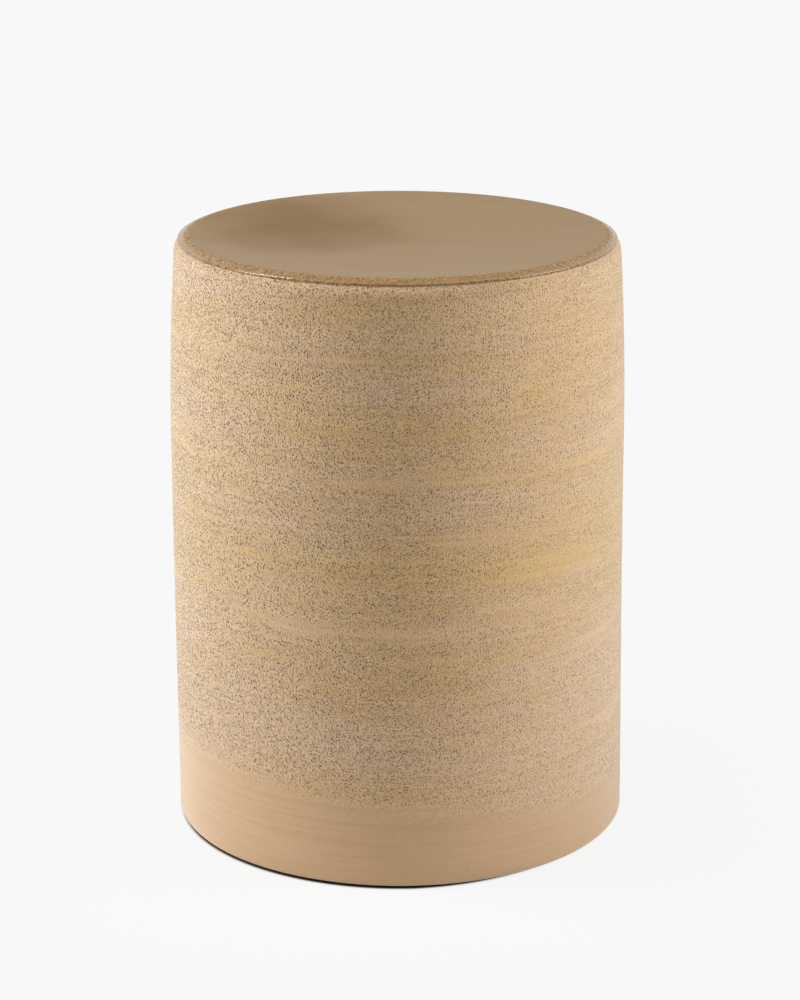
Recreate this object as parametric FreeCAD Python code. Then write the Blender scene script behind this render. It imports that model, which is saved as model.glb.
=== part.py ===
import FreeCAD, Part
import math
import os

# Ceramic garden stool: a hollow stoneware cylinder with a dished, glazed seat.
# Millimetres, +Z up. The origin is on the floor, on the stool's own axis.
# Every clay piece is round, so each one is a flat profile in the XZ plane,
# turned once round the Z axis.

# Overall form
stool_height = 460.0        # floor to the crest of the glazed rim
body_diameter = 350.0       # the wall at its foot, before the foot edge is rounded
side_draw_in = 1.6          # how far the side leans in over its straight, nearly upright part
side_curve_height = 140.0   # the curved part of the side, above the straight one
shoulder_draw_in = 4.7      # how much further it curves in up to the shoulder
shoulder_radius = 12.0      # outer rounding between the side and the crest
foot_edge_radius = 3.5      # outer rounding under the foot
foot_edge_share = 0.7       # the most that this rounding takes of the skirt's thickness

# Wall
wall_thickness = 10.0
glaze_edge_drop = 4.0       # from the clay crest down to the seat's joint and glaze line
slip_gap = 0.3              # the slip-filled play round a luted piece

# Seat
dish_depth = 10.0           # from the crest down to the middle of the seat
rim_inner_radius = 20.0     # inner rounding between the crest and the dish
slab_thickness = 12.0
glaze_thickness = 0.6

# Foot
foot_ring_height = 14.0
foot_skirt = 6.0            # what is left of the wall outside the foot ring let into it
foot_ring_width = 27.5
foot_ring_edge_radius = 3.0

# Luting coils pressed into the inner corners
seat_coil_radius = 9.0
foot_coil_radius = 8.0

# Pads
pad_count = 4
pad_diameter = 20.0
pad_thickness = 2.0
pad_edge_radius = 0.5
first_pad_angle = 45.0      # degrees from +X

# Angles from the +X direction, for the ends of the arcs
straight_up = math.pi / 2
straight_down = -math.pi / 2
straight_back = math.pi

# Levels that several pieces share
clay_bottom = pad_thickness
foot_ring_top = clay_bottom + foot_ring_height
clay_crest = stool_height - glaze_thickness
seat_joint = clay_crest - glaze_edge_drop

# The side: a line that leans in by a small angle, from the foot to its upper end
foot_radius = body_diameter / 2
side_top_x = foot_radius - side_draw_in
shoulder_z = clay_crest - shoulder_radius
side_top_z = shoulder_z - side_curve_height
side_lean = math.atan2(side_draw_in, side_top_z - clay_bottom)

# The shoulder circle, whose highest point is the crest
crest_radius = side_top_x - shoulder_draw_in - shoulder_radius


def point(x, z):
    return FreeCAD.Vector(x, 0, z)


def on_circle(centre, radius, angle):
    # angle is in radians, counted up from the +X direction
    return centre + point(radius * math.cos(angle), radius * math.sin(angle))


def line(start, end):
    return Part.LineSegment(start, end).toShape()


def arc(centre, radius, start_angle, end_angle):
    middle_angle = (start_angle + end_angle) / 2
    start = on_circle(centre, radius, start_angle)
    middle = on_circle(centre, radius, middle_angle)
    end = on_circle(centre, radius, end_angle)
    return Part.Arc(start, middle, end).toShape()


def profile(edges):
    return Part.Face(Part.Wire(edges))


def turned(face):
    return face.revolve(point(0, 0), FreeCAD.Vector(0, 0, 1), 360)


# The upper side curve: one large arc, tangent to the straight side below it and to
# the shoulder circle above it.
side_top = point(side_top_x, side_top_z)
shoulder_centre = point(crest_radius, shoulder_z)
side_normal = point(math.cos(side_lean), math.sin(side_lean))
to_side_top = side_top - shoulder_centre
side_curve_radius = (to_side_top.Length ** 2 - shoulder_radius ** 2) / (
    2 * (to_side_top.dot(side_normal) - shoulder_radius))
side_curve_centre = side_top - side_normal * side_curve_radius
curve_to_shoulder = shoulder_centre - side_curve_centre
shoulder_start_angle = math.atan(curve_to_shoulder.z / curve_to_shoulder.x)
seat_joint_angle = math.asin((shoulder_radius - glaze_edge_drop) / shoulder_radius)


def inner_radius(z, depth):
    # how far from the axis the wall still is, at height z and at a depth under its outside
    curve_start = side_top - side_normal * depth
    if z < curve_start.z:
        drawn_in = (z - clay_bottom) * math.tan(side_lean)
        return foot_radius - drawn_in - depth / math.cos(side_lean)
    radius = side_curve_radius - depth
    rise = z - side_curve_centre.z
    return side_curve_centre.x + math.copysign(math.sqrt(radius ** 2 - rise ** 2), radius)


def inner_side(depth, low_z, high_z):
    # the inner side of the wall, from low_z up to high_z
    low = point(inner_radius(low_z, depth), low_z)
    bend = side_top - side_normal * depth
    rise = high_z - side_curve_centre.z
    high_angle = math.asin(rise / (side_curve_radius - depth))
    curve = arc(side_curve_centre, side_curve_radius - depth, side_lean, high_angle)
    return [line(low, bend), curve]


# The foot ring is let into the wall, so its outside is a plain cylinder. The wall
# stands on its upper face.
wall_inside_at_ring = inner_radius(foot_ring_top, wall_thickness)
rebate_radius = foot_radius - foot_skirt
foot_ring_outer = rebate_radius - slip_gap
foot_ring_inner = foot_ring_outer - foot_ring_width

# The foot edge takes no more than its share of the skirt.
foot_edge = min(foot_edge_radius, foot_skirt * foot_edge_share)


def wall_profile():
    lean_share = (1 + math.sin(side_lean)) / math.cos(side_lean)
    foot_centre = point(foot_radius - foot_edge * lean_share, clay_bottom + foot_edge)
    foot_arc_end = on_circle(foot_centre, foot_edge, side_lean)
    seam_inner = point(inner_radius(seat_joint, wall_thickness), seat_joint)
    ledge_inner = point(wall_inside_at_ring, foot_ring_top)
    ledge_outer = point(rebate_radius, foot_ring_top)
    rebate_low = point(rebate_radius, clay_bottom)
    outside = [
        line(rebate_low, point(foot_centre.x, clay_bottom)),
        arc(foot_centre, foot_edge, straight_down, side_lean),
        line(foot_arc_end, side_top),
        arc(side_curve_centre, side_curve_radius, side_lean, shoulder_start_angle),
        arc(shoulder_centre, shoulder_radius, shoulder_start_angle, seat_joint_angle),
        line(seat_edge(0), seam_inner)]
    inside = inner_side(wall_thickness, foot_ring_top, seat_joint)
    rebate = [line(ledge_inner, ledge_outer), line(ledge_outer, rebate_low)]
    return profile(outside + inside[::-1] + rebate)


# The dish is a shallow bowl, tangent to the inner rounding of the rim. The slab's
# underside follows it, one slab thickness below.
rim_centre = point(crest_radius, clay_crest - rim_inner_radius)
dish_radius = (crest_radius ** 2 + dish_depth ** 2) / (2 * dish_depth) - rim_inner_radius
dish_centre = point(0, clay_crest - dish_depth + dish_radius)
rim_end_angle = math.atan2(dish_centre.z - rim_centre.z, -crest_radius)
dish_end_angle = rim_end_angle - math.pi


def seat_surface(offset):
    # the seat's upper side from the joint line to the axis, offset outward from the clay
    return [
        arc(shoulder_centre, shoulder_radius + offset, seat_joint_angle, straight_up),
        arc(rim_centre, rim_inner_radius + offset, straight_up, rim_end_angle),
        arc(dish_centre, dish_radius - offset, dish_end_angle, straight_down)]


def seat_edge(offset):
    return on_circle(shoulder_centre, shoulder_radius + offset, seat_joint_angle)


def seat_middle(offset):
    return point(0, dish_centre.z - dish_radius + offset)


def slab_profile(spigot_depth):
    # spigot_depth is how deep under the outside of the wall the part that hangs in it ends
    spigot_radius = inner_radius(seat_joint, spigot_depth)
    underside_radius = dish_radius + slab_thickness
    edge_angle = -math.acos(spigot_radius / underside_radius)
    edge_low = on_circle(dish_centre, underside_radius, edge_angle)
    edge_high = point(spigot_radius, seat_joint)
    underside = arc(dish_centre, underside_radius, straight_down, edge_angle)
    return profile(seat_surface(0) + [
        line(seat_middle(0), seat_middle(-slab_thickness)),
        underside,
        line(edge_low, edge_high),
        line(edge_high, seat_edge(0))])


def foot_ring_profile():
    # a flat ring with a rounded inner edge above and below
    low_centre = point(foot_ring_inner + foot_ring_edge_radius, clay_bottom + foot_ring_edge_radius)
    high_centre = point(low_centre.x, foot_ring_top - foot_ring_edge_radius)
    low_end = point(low_centre.x, clay_bottom)
    high_end = point(high_centre.x, foot_ring_top)
    return profile([
        line(low_end, point(foot_ring_outer, clay_bottom)),
        line(point(foot_ring_outer, clay_bottom), point(foot_ring_outer, foot_ring_top)),
        line(point(foot_ring_outer, foot_ring_top), high_end),
        arc(high_centre, foot_ring_edge_radius, straight_up, straight_back),
        line(point(foot_ring_inner, high_centre.z), point(foot_ring_inner, low_centre.z)),
        arc(low_centre, foot_ring_edge_radius, straight_back, 3 * straight_up)])


def hollow_profile():
    # the empty inside, from the foot ring up to the underside of the seat
    low_axis = point(0, foot_ring_top)
    high_axis = point(0, seat_joint)
    low_wall = point(wall_inside_at_ring, foot_ring_top)
    high_wall = point(inner_radius(seat_joint, wall_thickness), seat_joint)
    space = profile(
        [line(high_axis, low_axis), line(low_axis, low_wall)]
        + inner_side(wall_thickness, foot_ring_top, seat_joint)
        + [line(high_wall, high_axis)])
    return space.cut(slab_profile(wall_thickness / 2))


def coil(corner, radius):
    # a round coil pressed into a corner: what is left of it is the part in the hollow
    circle = Part.Wire(Part.Circle(corner, FreeCAD.Vector(0, 1, 0), radius).toShape())
    pressed = Part.Face(circle).common(hollow_profile())
    return turned(pressed.Faces[0])


def body_wall():
    return turned(wall_profile())


def seat_slab():
    return turned(slab_profile(wall_thickness + slip_gap))


def seat_glaze():
    # an even coat over the clay, which ends in a step at the joint line
    return turned(profile(
        seat_surface(0)
        + [line(seat_middle(0), seat_middle(glaze_thickness))]
        + seat_surface(glaze_thickness)[::-1]
        + [line(seat_edge(glaze_thickness), seat_edge(0))]))


def foot_ring():
    return turned(foot_ring_profile())


def seat_luting_coil():
    wall_inside = inner_radius(seat_joint, wall_thickness)
    drop = math.sqrt((dish_radius + slab_thickness) ** 2 - wall_inside ** 2)
    return coil(point(wall_inside, dish_centre.z - drop), seat_coil_radius)


def foot_luting_coil():
    return coil(point(wall_inside_at_ring, foot_ring_top), foot_coil_radius)


def foot_pad(index):
    # stuck under the middle of the foot ring's flat underside
    angle = math.radians(first_pad_angle + index * 360 / pad_count)
    ring_middle = (foot_ring_inner + foot_ring_edge_radius + foot_ring_outer) / 2
    pad = Part.makeCylinder(pad_diameter / 2, pad_thickness)
    lower_edge = [edge for edge in pad.Edges if edge.BoundBox.ZMax < pad_thickness / 2]
    pad = pad.makeFillet(pad_edge_radius, lower_edge)
    pad.translate(FreeCAD.Vector(math.cos(angle), math.sin(angle), 0) * ring_middle)
    return pad


pieces = {
    "body_wall": body_wall(),
    "seat_slab": seat_slab(),
    "seat_glaze": seat_glaze(),
    "seat_luting_coil": seat_luting_coil(),
    "foot_ring": foot_ring(),
    "foot_luting_coil": foot_luting_coil()}
for pad_index in range(pad_count):
    pieces["foot_pad_" + str(pad_index + 1)] = foot_pad(pad_index)

os.makedirs("parts", exist_ok=True)
for name, shape in pieces.items():
    shape.exportStep("parts/" + name + ".step")
    print(name, "solids", len(shape.Solids), "valid", shape.isValid(), "mm3", round(shape.Volume))
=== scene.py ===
import math

import bpy
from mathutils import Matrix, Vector, noise


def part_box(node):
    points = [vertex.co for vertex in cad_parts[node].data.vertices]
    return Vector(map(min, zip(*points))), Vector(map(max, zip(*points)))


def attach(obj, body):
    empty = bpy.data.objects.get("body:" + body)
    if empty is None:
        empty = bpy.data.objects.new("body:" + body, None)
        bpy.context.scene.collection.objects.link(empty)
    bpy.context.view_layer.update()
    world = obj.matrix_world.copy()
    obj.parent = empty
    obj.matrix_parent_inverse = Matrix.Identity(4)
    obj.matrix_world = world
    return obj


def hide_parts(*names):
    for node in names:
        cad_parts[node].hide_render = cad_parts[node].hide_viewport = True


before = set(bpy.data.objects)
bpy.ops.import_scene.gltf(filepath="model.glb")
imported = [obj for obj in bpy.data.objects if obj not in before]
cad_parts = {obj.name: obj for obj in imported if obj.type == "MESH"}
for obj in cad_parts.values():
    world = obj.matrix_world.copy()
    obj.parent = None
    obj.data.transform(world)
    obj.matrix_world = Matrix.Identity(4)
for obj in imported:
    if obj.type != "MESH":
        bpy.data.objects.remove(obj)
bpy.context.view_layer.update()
print("frame loaded:", len(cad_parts), "pieces")

mm = 0.001  # the shapes are written in millimetres and turned to metres by this


# Helpers

def hexToLinear(code, alpha=1.0):
    # "#rrggbb" as a person picks it, turned to the linear light that shaders work in
    channels = []
    for start in (1, 3, 5):
        value = int(code[start:start + 2], 16) / 255
        channels.append(value / 12.92 if value <= 0.04045 else ((value + 0.055) / 1.055) ** 2.4)
    return (*channels, alpha)


def addNode(tree, kind, inputs=None, **settings):
    # inputs maps a socket's name or number to a value, or to another node's output
    node = tree.nodes.new(kind)
    for name, value in settings.items():
        setattr(node, name, value)
    for key, value in (inputs or {}).items():
        if isinstance(value, bpy.types.NodeSocket):
            tree.links.new(value, node.inputs[key])
        else:
            node.inputs[key].default_value = value
    return node


def newMaterial(name):
    material = bpy.data.materials.new(name)
    material.use_nodes = True
    material.node_tree.nodes.clear()
    return material, material.node_tree


def maths(tree, operation, *values):
    return addNode(tree, "ShaderNodeMath", dict(enumerate(values)), operation=operation).outputs[0]


def mapRange(tree, value, fromRange, toRange=(0.0, 1.0), smooth=False):
    return addNode(tree, "ShaderNodeMapRange", {
        "Value": value, "From Min": fromRange[0], "From Max": fromRange[1],
        "To Min": toRange[0], "To Max": toRange[1]},
        interpolation_type="SMOOTHSTEP" if smooth else "LINEAR").outputs[0]


def stretched(tree, place, scale):
    return addNode(tree, "ShaderNodeMapping", {"Vector": place, "Scale": scale}).outputs[0]


def cloud(tree, place, scale, detail, roughness=0.5):
    return addNode(tree, "ShaderNodeTexNoise", {
        "Vector": place, "Scale": scale, "Detail": detail, "Roughness": roughness}).outputs["Fac"]


def blend(tree, factor, first, second):
    # the colours are "#rrggbb", linear values or outputs of other nodes
    first, second = (hexToLinear(c) if isinstance(c, str) else c for c in (first, second))
    return addNode(tree, "ShaderNodeMix", {"Factor": factor, "A": first, "B": second},
                   data_type="RGBA").outputs["Result"]


def objectPlace(tree):
    # the place on the piece in metres, and its X, Y and Z
    place = addNode(tree, "ShaderNodeTexCoord").outputs["Object"]
    return place, addNode(tree, "ShaderNodeSeparateXYZ", {"Vector": place}).outputs


# The stool's profile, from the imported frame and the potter's sizes

stool = {
    "shoulderRadius": 12.0,     # rounding between side and crest
    "rimInnerRadius": 20.0,     # rounding between crest and dish
    "sideDrawIn": 1.0,          # lean of the straight part of the side
    "sideCurveHeight": 140.0,   # curved part of the side below the shoulder
    "shoulderDrawIn": 4.96,     # how far that curve comes in
    "dishDepth": 10.0,
    "slipGap": 0.3,             # play round a piece let into the wall
    "lean": -2.2,               # the whole stool leans this far to the left at the top
    "sway": -1.0,               # and bows this much further to the left at half height
    "footShift": 0.6,           # so its foot stands this far right of the middle
    "outOfRound": 0.25,         # slow swelling of the thrown clay
    "swellAcross": 170.0,       # size of those swellings, across and up
    "swellUp": 260.0,
    "skinIn": 0.82,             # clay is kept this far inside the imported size
    "topIn": 0.05,              # and the glazed crest this far below its top
    "creaseAngle": 50.0,        # degrees; edges sharper than this stay crisp
}

wallLow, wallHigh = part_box("body_wall")
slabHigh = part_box("seat_slab")[1]
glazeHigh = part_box("seat_glaze")[1]
ringLow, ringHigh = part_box("foot_ring")
clayBottom = wallLow.z / mm
seatJoint = wallHigh.z / mm
crestTop = glazeHigh.z / mm - stool["topIn"]
glazeThickness = (glazeHigh.z - slabHigh.z) / mm
clayCrest = crestTop - glazeThickness
footRadius = wallHigh.x / mm - stool["skinIn"]
shoulderZ = clayCrest - stool["shoulderRadius"]
sideTopZ = shoulderZ - stool["sideCurveHeight"]
sideTopX = footRadius - stool["sideDrawIn"]
crestRadius = sideTopX - stool["shoulderDrawIn"] - stool["shoulderRadius"]
shoulder = (crestRadius, shoulderZ)
jointAngle = math.degrees(math.asin((seatJoint - shoulderZ) / stool["shoulderRadius"]))


def arcPoints(centre, radius, startAngle, endAngle, steps):
    # angles in degrees, counted up from straight out
    points = []
    for step in range(steps + 1):
        angle = math.radians(startAngle + (endAngle - startAngle) * step / steps)
        points.append((centre[0] + radius * math.cos(angle), centre[1] + radius * math.sin(angle)))
    return points


def heights(start, end, steps):
    return [start + (end - start) * k / steps for k in range(steps + 1)]


def sideRadius(z):
    # outside of the clay wall at height z: straight, then drawn in along one large arc
    if z <= sideTopZ:
        return footRadius - stool["sideDrawIn"] * (z - clayBottom) / (sideTopZ - clayBottom)
    rise = (z - sideTopZ) / stool["sideCurveHeight"]
    slope = stool["sideDrawIn"] * stool["sideCurveHeight"] / (sideTopZ - clayBottom)
    return sideTopX - slope * rise - (stool["shoulderDrawIn"] - slope) * rise ** 2


def axisShift(z):
    # how far sideways the stool's own axis is at height z
    rise = min(1.0, max(0.0, z / crestTop))
    bow = max(0.0, math.sin(math.pi * rise)) ** 1.5
    return stool["footShift"] + stool["lean"] * rise + stool["sway"] * bow


def handMade(x, y, z):
    # what throwing by hand does to the whole form: it leans, bows and is not quite round
    if math.hypot(x, y) < 0.001:
        return x + axisShift(z), y, z
    across, up = stool["swellAcross"], stool["swellUp"]
    swell = noise.noise(Vector((x / across, y / across, z / up + 3.7)))
    grow = 1 + stool["outOfRound"] * swell / footRadius
    return x * grow + axisShift(z), y * grow, z


def lathe(name, outline, segments, relief=None):
    # turns a closed outline of (radius, height) points once round the axis, in millimetres
    vertices = []
    faces = []
    rows = []
    for radius, height in outline:
        if radius < 0.0005:
            rows.append([len(vertices)])
            vertices.append((0.0, 0.0, height))
            continue
        rows.append(range(len(vertices), len(vertices) + segments))
        for k in range(segments):
            angle = 2 * math.pi * k / segments
            r, z = relief(radius, height, angle) if relief else (radius, height)
            vertices.append((r * math.cos(angle), r * math.sin(angle), z))
    for low, high in zip(rows, rows[1:] + rows[:1]):
        if len(low) == 1 and len(high) == 1:
            continue
        for k in range(segments):
            n = (k + 1) % segments
            if len(low) == 1:
                faces.append((low[0], high[n], high[k]))
            elif len(high) == 1:
                faces.append((low[k], low[n], high[0]))
            else:
                faces.append((low[k], low[n], high[n], high[k]))
    mesh = bpy.data.meshes.new(name)
    mesh.from_pydata([Vector(handMade(*v)) * mm for v in vertices], [], faces)
    mesh.validate()
    mesh.shade_smooth()
    mesh.set_sharp_from_angle(angle=math.radians(stool["creaseAngle"]))
    piece = bpy.data.objects.new(name, mesh)
    bpy.context.scene.collection.objects.link(piece)
    return piece


# Stoneware wall

wall = {
    "thickness": 10.0,
    "footEdge": 3.5,            # rounding under the foot
    "segments": 440,            # steps round, about 2.5 mm each
    "rowHeight": 2.6,           # height of one row of faces up the side
    "ringDepth": 0.16,          # the rings that fingers and rib left on the outside
    "ringPitch": 17.0,          # height of a broad ring, and of the fine ones on it
    "finePitch": 6.5,
    "fineShare": 0.35,
    "ringWander": 240.0,        # how far round a ring runs before it climbs or sinks
    "fineWander": 150.0,
    "dentSize": 38.0,           # shallow dents from the hand, across and up
    "dentHeight": 30.0,
    "dentShare": 0.5,
    "ringsStart": 12.0,         # height where the rings begin
    "ringsGrow": 20.0,          # they have their full depth this far above it
    "ringsFade": 25.0,          # and start to fade this far below the shoulder
    "rebateShare": 0.3,         # share of skinIn by which the foot ring's rebate moves in
    "insideTop": 4.0,           # the straight inside starts this far below the shoulder
}


def throwingRings(radius, height, angle):
    # shallow rings that climb a little, faded out towards the joint and the foot
    below = min(1.0, max(0.0, (shoulderZ - height) / wall["ringsFade"]))
    fade = below * min(1.0, max(0.0, (height - wall["ringsStart"]) / wall["ringsGrow"]))
    if fade == 0:
        return radius, height
    x, y = radius * math.cos(angle), radius * math.sin(angle)
    dent = wall["dentSize"]
    far, near = wall["ringWander"], wall["fineWander"]
    broad = noise.noise(Vector((x / far, y / far, height / wall["ringPitch"])))
    fine = noise.noise(Vector((x / near + 9, y / near, height / wall["finePitch"])))
    dents = noise.noise(Vector((x / dent, y / dent + 5, height / wall["dentHeight"])))
    push = broad + wall["fineShare"] * fine + wall["dentShare"] * dents
    return radius + wall["ringDepth"] * fade * push, height


def makeWall():
    inner = wall["thickness"]
    edge = wall["footEdge"]
    ringTop = ringHigh.z / mm
    rebate = ringHigh.x / mm + stool["slipGap"] - stool["skinIn"] * wall["rebateShare"]
    low = clayBottom + edge
    rowCount = round((shoulderZ - low) / wall["rowHeight"])
    outline = [(rebate, clayBottom)]
    outline += arcPoints((footRadius - edge, low), edge, -90, 0, steps=5)[:-1]
    outline += [(sideRadius(z), z) for z in heights(low, shoulderZ, rowCount)]
    outline += arcPoints(shoulder, stool["shoulderRadius"], 0, jointAngle, steps=7)[1:]
    outline += [(sideRadius(shoulderZ) - inner, seatJoint)]
    insideTop = shoulderZ - wall["insideTop"]
    outline += [(sideRadius(z) - inner, z) for z in heights(insideTop, ringTop, 22)]
    outline += [(rebate, ringTop)]
    piece = lathe("wall", outline, wall["segments"], relief=throwingRings)
    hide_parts("body_wall")
    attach(piece, "root")
    return piece


# Seat slab and its glaze

seat = {
    "slabThickness": 12.0,
    "slabSegments": 240,
    "hairGap": 0.05,            # between the slab and the glaze
    "glazeSegments": 960,       # steps round the glaze, about 1 mm each
    "beadHeight": 2.0,          # thick rolled lower edge of the glaze
    "beadProud": 0.7,           # how far that edge stands off the coat
    "beadWander": 0.45,         # how far the glaze line wanders up and down
    "beadSwell": 0.22,          # how far it swells in and out along its way
    "dropSize": 22.0,           # length of a slow wave in it, and of the small drops on it
    "smallDrop": 3.1,
}

# the dish is a shallow bowl, tangent to the rim's inner rounding
dishRadius = (crestRadius ** 2 + stool["dishDepth"] ** 2) / (2 * stool["dishDepth"]) \
    - stool["rimInnerRadius"]
dishCentreZ = clayCrest - stool["dishDepth"] + dishRadius


def dishHeight(radius, offset=0.0):
    return dishCentreZ - math.sqrt((dishRadius - offset) ** 2 - radius ** 2)


def seatOutline(offset, startAngle, shoulderSteps, rimSteps, dishSteps):
    # from the glaze line over the crest down to the middle of the dish
    inner = stool["rimInnerRadius"]
    rimEnd = 90 + math.degrees(math.asin(crestRadius / (dishRadius + inner)))
    points = arcPoints(shoulder, stool["shoulderRadius"] + offset, startAngle, 90, shoulderSteps)
    points += arcPoints((crestRadius, clayCrest - inner), inner + offset, 90, rimEnd, rimSteps)[1:]
    last = points[-1][0]
    for k in range(1, dishSteps + 1):
        radius = last * (1 - k / dishSteps)
        points.append((radius, dishHeight(radius, offset)))
    return points


def makeSlab():
    # its top lies a hair under the glaze, so that the two never flicker
    top = seatOutline(-seat["hairGap"], jointAngle, shoulderSteps=8, rimSteps=4, dishSteps=12)
    spigot = sideRadius(shoulderZ) - wall["thickness"] - stool["slipGap"]
    under = [(radius, dishHeight(radius, -seat["slabThickness"])) for radius in heights(0, spigot, 12)]
    piece = lathe("seatSlab", top + under + [(spigot, seatJoint)], seat["slabSegments"])
    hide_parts("seat_slab")
    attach(piece, "root")
    return piece


def makeGlaze():
    clay = stool["shoulderRadius"]
    beadTurn = 2.2 * math.degrees(seat["beadHeight"] / (clay + glazeThickness))
    bead = []
    for k in range(12):
        share = k / 12          # 0 at the glaze line, 1 where the coat is even
        angle = jointAngle + beadTurn * share
        rise = math.sin(math.pi * min(1.0, share * 1.5)) if share < 0.667 else 0.0
        thick = glazeThickness * min(1.0, share * 6) + seat["beadProud"] * rise
        bead.append(arcPoints(shoulder, clay + thick, angle, angle, 1)[0])
    outer = seatOutline(glazeThickness, jointAngle + beadTurn, shoulderSteps=12, rimSteps=7,
                        dishSteps=26)
    inner = seatOutline(0, jointAngle, shoulderSteps=8, rimSteps=4, dishSteps=10)[::-1]
    beadLow = seatJoint - 1.0
    beadHigh = seatJoint + 2.5 * seat["beadHeight"]

    def wander(radius, height, angle):
        # the glaze pooled into drops along its edge, and thinned between them
        if height > beadHigh or radius < crestRadius:
            return radius, height
        share = 1 - max(0.0, (height - beadLow) / (beadHigh - beadLow))
        x, y = radius * math.cos(angle), radius * math.sin(angle)
        wave, small = seat["dropSize"], seat["smallDrop"]
        slow = noise.noise(Vector((x / wave, y / wave, 1.3)))
        quick = noise.noise(Vector((x / small, y / small, height / 2.0)))
        drop = seat["beadWander"] * share * (0.7 * slow + 0.3 * quick)
        return radius + share * seat["beadSwell"] * quick, height + drop

    piece = lathe("seatGlaze", bead + outer + inner[:-1], seat["glazeSegments"], relief=wander)
    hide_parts("seat_glaze")
    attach(piece, "root")
    return piece


# Foot ring, inside the wall

footRing = {
    "width": 27.5,
    "innerEdge": 3.0,           # rounding of its two inner edges
    "segments": 240,
}


def makeFootRing():
    outerR = ringHigh.x / mm - stool["skinIn"]
    low, high = ringLow.z / mm, ringHigh.z / mm
    edge = footRing["innerEdge"]
    edgeR = outerR - footRing["width"] + edge
    outline = [(outerR, low), (outerR, high)]
    outline += arcPoints((edgeR, high - edge), edge, 90, 180, steps=6)
    outline += arcPoints((edgeR, low + edge), edge, 180, 270, steps=6)
    piece = lathe("footRing", outline[::-1], footRing["segments"])
    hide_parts("foot_ring")
    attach(piece, "root")
    return piece


# Stoneware: groggy clay, thrown and left raw. Dry, matt and a little dusty, so it pales where
# it turns away. The wet rib tore grit out of the skin: small dark pits nearly everywhere, fewer
# in the narrow bands that it closed and on the trimmed foot. Pattern counts are per metre, from
# the real sizes beside them.

clayLook = {
    "ochre": "#bb9a66",
    "pale": "#bd9f7e",          # pinkish patches
    "trimmed": "#b0906e",       # the foot, turned smooth when leather hard
    "drag": "#a17c50",          # fine lines that the rib dragged round
    # painted shade: the dark colours of the pricks and pits
    "prick": "#7c4a10",
    "pit": "#6f2e00",
    "dust": "#faf0e0",          # the pale sheen of dry clay
    "pits": 470.0,              # cells 2.1 mm wide, the pits in them about 1 mm
    "fray": 900.0,              # noise about 1 mm wide that makes the pits ragged
    "frayBy": 0.9,              # mm
    "pricks": 760.0,            # cells 1.3 mm wide, the pricks in them under 1 mm
    "bands": (5, 5, 42),        # closed bands about 24 mm tall and 200 mm long
    "swarms": (38, 38, 120),    # swarms of pits, 26 mm long and 8 mm tall
    "patches": (4, 4, 17),      # colour patches, 250 mm long and 60 mm tall
    "drags": (9, 9, 330),       # drag lines 3 mm tall
    "pitDepth": 2.1,            # mm in the bump, drawn deeper than real so that the pits read
    "prickDepth": 0.3,          # as a share of that
    # how much of the painted shade the pricks get
    "prickShade": 0.5,
    "dustWeight": 0.85,
}


def tornSkin(tree, place, axes):
    # how much grit the rib tore out, 0 to 1, and how far a place is above the trimmed foot
    band = cloud(tree, stretched(tree, place, clayLook["bands"]), 1.0, 5.0, 0.6)
    torn = mapRange(tree, band, (0.34, 0.46), (0.45, 1.0), smooth=True)
    # fewer pits and pricks towards the right side
    fewerToRight = mapRange(tree, axes["X"], (-0.01, 0.10), (1.0, 0.62))
    torn = maths(tree, "MULTIPLY", torn, fewerToRight)
    # the trimming stops along a slanting, ragged line about 60 mm up
    slant = maths(tree, "MULTIPLY_ADD", axes["X"], 0.13, axes["Z"])
    trimLine = maths(tree, "MULTIPLY_ADD", band, 0.05, slant)
    aboveFoot = mapRange(tree, trimLine, (0.070, 0.105), (0.12, 1.0), smooth=True)
    return maths(tree, "MULTIPLY", torn, aboveFoot), aboveFoot


def grogPits(tree, place, torn):
    # pits where a grain of grog came out: ragged, in loose swarms that the turning drew out
    frayed = addNode(tree, "ShaderNodeTexNoise", {
        "Vector": place, "Scale": clayLook["fray"], "Detail": 0.0}).outputs["Color"]
    frayBy = clayLook["frayBy"] * mm
    frayedPlace = addNode(tree, "ShaderNodeVectorMath", {
        0: frayed, 1: (frayBy, frayBy, frayBy), 2: place}, operation="MULTIPLY_ADD").outputs[0]
    cells = addNode(tree, "ShaderNodeTexVoronoi", {
        "Vector": frayedPlace, "Scale": clayLook["pits"], "Randomness": 1.0}).outputs
    grainWide = mapRange(tree, cells["Distance"], (0.12, 0.40), (1.0, 0.0), smooth=True)
    chance = addNode(tree, "ShaderNodeSeparateColor", {"Color": cells["Color"]}).outputs["Red"]
    swarm = cloud(tree, stretched(tree, place, clayLook["swarms"]), 1.0, 4.0, 0.7)
    crowd = mapRange(tree, swarm, (0.36, 0.64), (0.30, 0.85))
    reach = maths(tree, "ADD", chance, maths(tree, "MULTIPLY", crowd, torn))
    gone = maths(tree, "MULTIPLY", mapRange(tree, reach, (0.60, 1.50)), torn)
    return maths(tree, "MULTIPLY", grainWide, gone)


def finePricks(tree, place, torn):
    cells = addNode(tree, "ShaderNodeTexVoronoi", {
        "Vector": place, "Scale": clayLook["pricks"], "Randomness": 1.0}).outputs
    prick = mapRange(tree, cells["Distance"], (0.15, 0.50), (1.0, 0.0))
    return maths(tree, "MULTIPLY", prick, torn)


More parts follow.
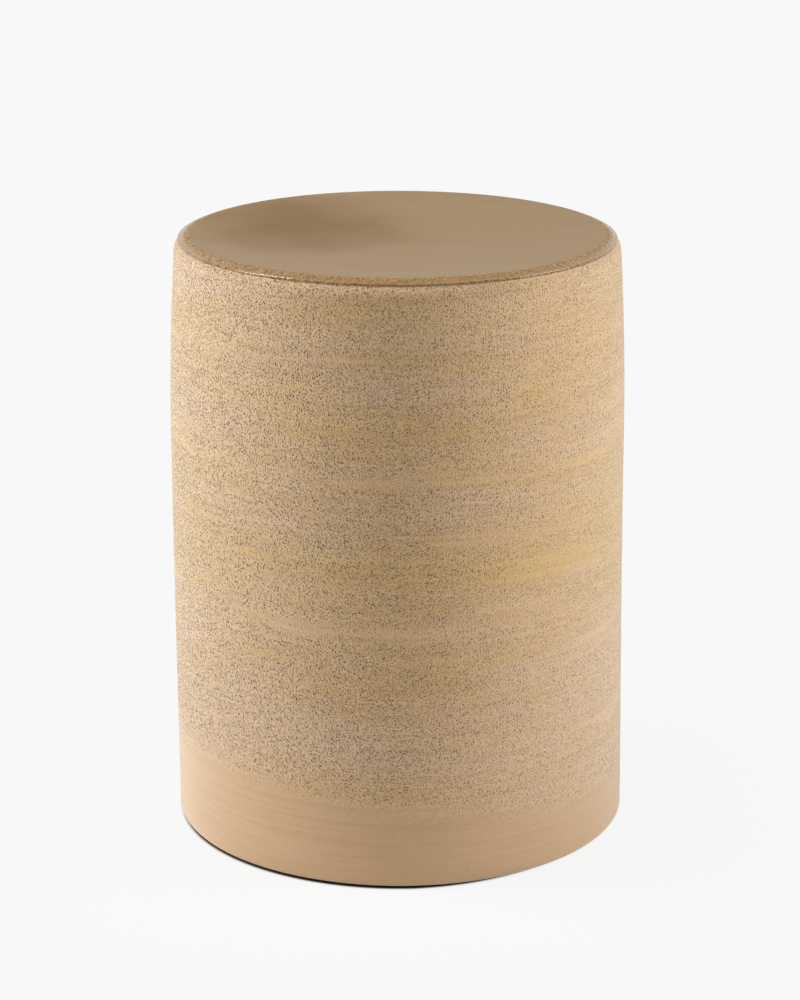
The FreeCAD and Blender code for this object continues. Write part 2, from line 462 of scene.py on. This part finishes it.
def clayColour(tree, place, axes, aboveFoot):
    # paler towards the foot, and again just under the shoulder
    patch = cloud(tree, stretched(tree, place, clayLook["patches"]), 1.0, 5.0, 0.6)
    lowPale = mapRange(tree, axes["Z"], (0.12, 0.24), (0.14, -0.04))
    highPale = mapRange(tree, axes["Z"], (0.37, 0.43), (0.0, 0.12))
    patch = maths(tree, "ADD", maths(tree, "ADD", patch, lowPale), highPale)
    colour = blend(tree, mapRange(tree, patch, (0.38, 0.64)), clayLook["ochre"], clayLook["pale"])
    trimmed = maths(tree, "SUBTRACT", 1.0, aboveFoot)
    colour = blend(tree, trimmed, colour, clayLook["trimmed"])
    drag = cloud(tree, stretched(tree, place, clayLook["drags"]), 1.0, 3.0, 0.6)
    return blend(tree, mapRange(tree, drag, (0.35, 0.6), (0.3, 0.0)), colour, clayLook["drag"])


def stoneware():
    material, tree = newMaterial("groggyStoneware")
    place, axes = objectPlace(tree)
    torn, aboveFoot = tornSkin(tree, place, axes)
    pit = grogPits(tree, place, torn)
    prick = finePricks(tree, place, torn)

    # painted shade: the pricks and pits are coloured dark, as deep holes that the light hardly reaches
    colour = clayColour(tree, place, axes, aboveFoot)
    prickShading = maths(tree, "MULTIPLY", prick, clayLook["prickShade"])
    colour = blend(tree, prickShading, colour, clayLook["prick"])
    colour = blend(tree, pit, colour, clayLook["pit"])

    depth = maths(tree, "MULTIPLY_ADD", prick, clayLook["prickDepth"], pit)
    bump = addNode(tree, "ShaderNodeBump", {
        "Height": depth, "Strength": 1.0, "Distance": -clayLook["pitDepth"] * mm}).outputs["Normal"]
    shader = addNode(tree, "ShaderNodeBsdfPrincipled", {
        "Base Color": colour, "Normal": bump, "Roughness": 0.7, "IOR": 1.5,
        "Specular IOR Level": 0.15, "Sheen Weight": clayLook["dustWeight"],
        "Sheen Roughness": 0.5, "Sheen Tint": hexToLinear(clayLook["dust"])})
    addNode(tree, "ShaderNodeOutputMaterial", {"Surface": shader.outputs[0]})
    return material


# Glaze: satin feldspathic glaze over the same clay. Brown-grey where it lies thick in the dish;
# past the crest it ran thin and broke to speckled ochre, and its rolled lower edge is wet and
# glossy enough to glint.

glazeLook = {
    "dishDark": "#796244",
    "dishLight": "#836d4f",
    "dimReflection": "#62461e",        # painted dim reflection: darker left of the middle, where the dish reflects less of the bright surroundings
    "rimDark": "#71501f",       # two tones of the speckled rim
    "rimLight": "#a07c48",
    "rolled": "#8a652c",
    "dimReflectionAt": (-78.0, 45.0),      # mm, where that painted dim reflection lies
    "dimReflectionReach": (65.0, 170.0),
    "dimReflectionRagged": 110.0,        # how far its edge wanders, in waves 77 mm wide
    "dimReflectionWaves": 13.0,
    "mottle": 420.0,            # speckles 2.4 mm wide
    "streaks": (14, 120, 14),   # streaks 8 mm wide that run from side to side
    "lumps": 240.0,             # drops on the rim, 4 mm wide
    "lumpHeight": 7.5,          # mm in the bump, drawn higher than real so that they glint
    "wetWeight": 0.8,
    "dishRoughness": 0.55,
    "rimRoughness": 0.4,
}


def seatGlazeMaterial():
    material, tree = newMaterial("satinFeldsparGlaze")
    place, axes = objectPlace(tree)
    flat = addNode(tree, "ShaderNodeCombineXYZ", {
        "X": axes["X"], "Y": axes["Y"], "Z": 0.0}).outputs[0]

    def distanceFrom(point):
        return addNode(tree, "ShaderNodeVectorMath", {0: flat, 1: point},
                       operation="DISTANCE").outputs["Value"]

    # zones by distance past the crest, in mm, with a mottled edge
    mottle = cloud(tree, place, glazeLook["mottle"], 3.0, 0.7)
    radius = distanceFrom((axisShift(crestTop) * mm, 0.0, 0.0))
    radius = maths(tree, "ADD", radius, mapRange(tree, mottle, (0.3, 0.7), (-0.0016, 0.0016)))

    def pastCrest(start, end, smooth=False):
        crest = crestRadius * mm
        return mapRange(tree, radius, (crest + start * mm, crest + end * mm), smooth=smooth)

    thin = pastCrest(-1.0, 3.0, smooth=True)
    rolled = pastCrest(4.0, 7.5)
    wet = pastCrest(3.0, 6.0)

    streak = cloud(tree, stretched(tree, place, glazeLook["streaks"]), 1.0, 4.0)
    dish = blend(tree, streak, glazeLook["dishDark"], glazeLook["dishLight"])
    # painted dim reflection: a ragged darker patch left of the middle of the dish
    dimReflectionX, dimReflectionY = glazeLook["dimReflectionAt"]
    waves = cloud(tree, flat, glazeLook["dimReflectionWaves"], 3.0)
    fromDimReflection = maths(tree, "MULTIPLY_ADD", waves, glazeLook["dimReflectionRagged"] * mm,
                     distanceFrom((dimReflectionX * mm, dimReflectionY * mm, 0.0)))
    near, far = glazeLook["dimReflectionReach"]
    dimReflection = mapRange(tree, fromDimReflection, (near * mm, far * mm), (0.85, 0.0), smooth=True)
    dish = blend(tree, dimReflection, dish, glazeLook["dimReflection"])

    speckle = mapRange(tree, mottle, (0.35, 0.65))
    rim = blend(tree, speckle, glazeLook["rimDark"], glazeLook["rimLight"])
    rim = blend(tree, rolled, rim, glazeLook["rolled"])

    lumps = cloud(tree, place, glazeLook["lumps"], 2.0)
    lumps = maths(tree, "MULTIPLY", maths(tree, "SUBTRACT", lumps, 0.5), thin)
    bump = addNode(tree, "ShaderNodeBump", {
        "Height": lumps, "Strength": 1.0, "Distance": glazeLook["lumpHeight"] * mm}).outputs["Normal"]
    shader = addNode(tree, "ShaderNodeBsdfPrincipled", {
        "Base Color": blend(tree, thin, dish, rim), "Normal": bump,
        "Roughness": mapRange(tree, thin, (0.0, 1.0),
                              (glazeLook["dishRoughness"], glazeLook["rimRoughness"])),
        "IOR": 1.5, "Specular IOR Level": 0.2,
        "Coat Weight": maths(tree, "MULTIPLY", wet, glazeLook["wetWeight"]),
        "Coat Roughness": 0.08, "Coat IOR": 1.5})
    addNode(tree, "ShaderNodeOutputMaterial", {"Surface": shader.outputs[0]})
    return material


# Pads: moulded EPDM bumpers, matt black with a faint bloom in spots 3 mm wide.

padLook = {
    "black": "#1b1a19",
    "bloom": "#2a2826",
    "spots": 300.0,
}


def padRubber():
    material, tree = newMaterial("epdmRubber")
    place, _ = objectPlace(tree)
    bloom = cloud(tree, place, padLook["spots"], 3.0)
    shader = addNode(tree, "ShaderNodeBsdfPrincipled", {
        "Base Color": blend(tree, bloom, padLook["black"], padLook["bloom"]),
        "Roughness": 0.7, "IOR": 1.5})
    addNode(tree, "ShaderNodeOutputMaterial", {"Surface": shader.outputs[0]})
    return material


# Camera, floor and light

studio = {
    "cameraSideways": 0.00025,  # metres; the camera stands this far right of the axis
    "cameraDistance": 2.2040,
    "cameraHeight": 0.926,
    "cameraDown": 17.0796,      # degrees below level
    "lens": 107.45,
    "white": 0.939,             # what the eye sees of the floor and backdrop
    "ambient": 0.42,            # soft light from all round, grey enough to leave the form its shade
    "aimHeight": 0.25,          # the lamps point at the axis, this far up
    # azimuths are degrees from the camera side, positive to the right; sizes are across and up
    "leftSoftbox": {"azimuth": -82.0, "distance": 1.5, "height": 1.05, "size": (0.5, 1.2), "power": 24.0},
    "rightSoftbox": {"azimuth": 80.0, "distance": 1.5, "height": 1.05, "size": (0.9, 1.3), "power": 28.0},
    # high on the left, for the glints along the glaze's edge
    "edgeLamp": {"azimuth": -95.0, "distance": 1.5, "height": 2.45, "size": (0.7, 0.5), "power": 34.0},
}

floorLook = {
    "size": 6.0,                # metres from the middle to each side
    "keeps": 0.08,              # share of the real shade that the seen floor keeps at the foot
    "reach": 0.25,              # metres from the foot to where that shade has faded out
    "bare": "#dddcda",
    "paintedShadow": "#6a5645",    # painted shadow: the floor just under the foot is coloured warm dark, for the contact shade there
    "paintedShadowEdge": (-0.003, 0.0005),  # metres from the foot's edge over which that painted shadow ends
    "litFrom": (0.01, 0.12),    # metres right of the axis over which the painted shadow draws back, as light creeps under the foot
    "litBy": 0.006,
}


def makeCamera():
    data = bpy.data.cameras.new("camera")
    data.sensor_fit = "VERTICAL"
    data.sensor_height = 36.0
    data.lens = studio["lens"]
    camera = bpy.data.objects.new("camera", data)
    camera.location = (studio["cameraSideways"], -studio["cameraDistance"], studio["cameraHeight"])
    camera.rotation_euler = (math.radians(90 - studio["cameraDown"]), 0, 0)
    bpy.context.scene.collection.objects.link(camera)
    bpy.context.scene.camera = camera


def seenDirectly(tree):
    # 1 where the camera, a reflection or a clear glaze sees the surface, 0 for soft bounced light
    rays = addNode(tree, "ShaderNodeLightPath").outputs
    seen = maths(tree, "MAXIMUM", rays["Is Camera Ray"], rays["Is Glossy Ray"])
    return maths(tree, "MAXIMUM", seen, rays["Is Transmission Ray"])


def makeFloor():
    size = floorLook["size"]
    mesh = bpy.data.meshes.new("floor")
    corners = [(-size, -size, 0), (size, -size, 0), (size, size, 0), (-size, size, 0)]
    mesh.from_pydata(corners, [], [(0, 1, 2, 3)])
    floor = bpy.data.objects.new("floor", mesh)
    bpy.context.scene.collection.objects.link(floor)

    # the real shade stays whole under the stool, faint round its foot, and fades out beyond; a painted
    # shadow darkens the floor's colour just under the foot's edge
    material, tree = newMaterial("paleStudioFloor")
    place, axes = objectPlace(tree)
    radius = addNode(tree, "ShaderNodeVectorMath", {0: place}, operation="LENGTH").outputs["Value"]
    foot = footRadius * mm
    faint = mapRange(tree, radius, (foot, foot + floorLook["reach"]), (floorLook["keeps"], 0.0))
    # painted shadow: under is 1 just under the foot's edge, drawing back towards the right, and there the
    # floor takes the dark colour
    lit = mapRange(tree, axes["X"], floorLook["litFrom"], (0.0, floorLook["litBy"]))
    start, end = floorLook["paintedShadowEdge"]
    under = mapRange(tree, maths(tree, "ADD", radius, lit), (foot + start, foot + end), (1.0, 0.0))
    diffuse = addNode(tree, "ShaderNodeBsdfDiffuse", {
        "Color": blend(tree, under, floorLook["bare"], floorLook["paintedShadow"])}).outputs[0]
    white = studio["white"]
    glow = addNode(tree, "ShaderNodeEmission", {"Color": (white, white, white, 1)}).outputs[0]
    glowing = maths(tree, "SUBTRACT", 1.0, maths(tree, "MAXIMUM", faint, under))
    seen = maths(tree, "MULTIPLY", seenDirectly(tree), glowing)
    mixed = addNode(tree, "ShaderNodeMixShader", {0: seen, 1: diffuse, 2: glow}).outputs[0]
    addNode(tree, "ShaderNodeOutputMaterial", {"Surface": mixed})
    mesh.materials.append(material)


def makeWorld():
    world = bpy.data.worlds.new("studio")
    bpy.context.scene.world = world
    world.use_nodes = True
    tree = world.node_tree
    tree.nodes.clear()
    dim, white = studio["ambient"], studio["white"]
    colour = blend(tree, seenDirectly(tree), (dim, dim, dim, 1), (white, white, white, 1))
    back = addNode(tree, "ShaderNodeBackground", {"Color": colour}).outputs[0]
    addNode(tree, "ShaderNodeOutputWorld", {"Surface": back})


def softbox(name):
    setup = studio[name]
    data = bpy.data.lights.new(name, "AREA")
    data.shape = "RECTANGLE"
    data.size, data.size_y = setup["size"]
    data.energy = setup["power"]
    lamp = bpy.data.objects.new(name, data)
    turn = math.radians(setup["azimuth"])
    distance = setup["distance"]
    lamp.location = (distance * math.sin(turn), -distance * math.cos(turn), setup["height"])
    aim = Vector((0, 0, studio["aimHeight"])) - lamp.location
    lamp.rotation_euler = aim.to_track_quat("-Z", "Y").to_euler()
    bpy.context.scene.collection.objects.link(lamp)


clay = stoneware()
glaze = seatGlazeMaterial()
rubber = padRubber()
print("materials ready")

for piece in (makeWall(), makeSlab(), makeFootRing()):
    piece.data.materials.append(clay)
makeGlaze().data.materials.append(glaze)
for name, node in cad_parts.items():
    # the luting coils and pads show as packed, with the real look on them
    material = clay if name.endswith("luting_coil") else rubber if name.startswith("foot_pad") else None
    if material:
        node.data.materials.clear()
        node.data.materials.append(material)
print("pieces ready")

makeCamera()
makeFloor()
makeWorld()
for name in ("leftSoftbox", "rightSoftbox", "edgeLamp"):
    softbox(name)
bpy.context.scene.view_settings.view_transform = "Standard"
print("studio ready")
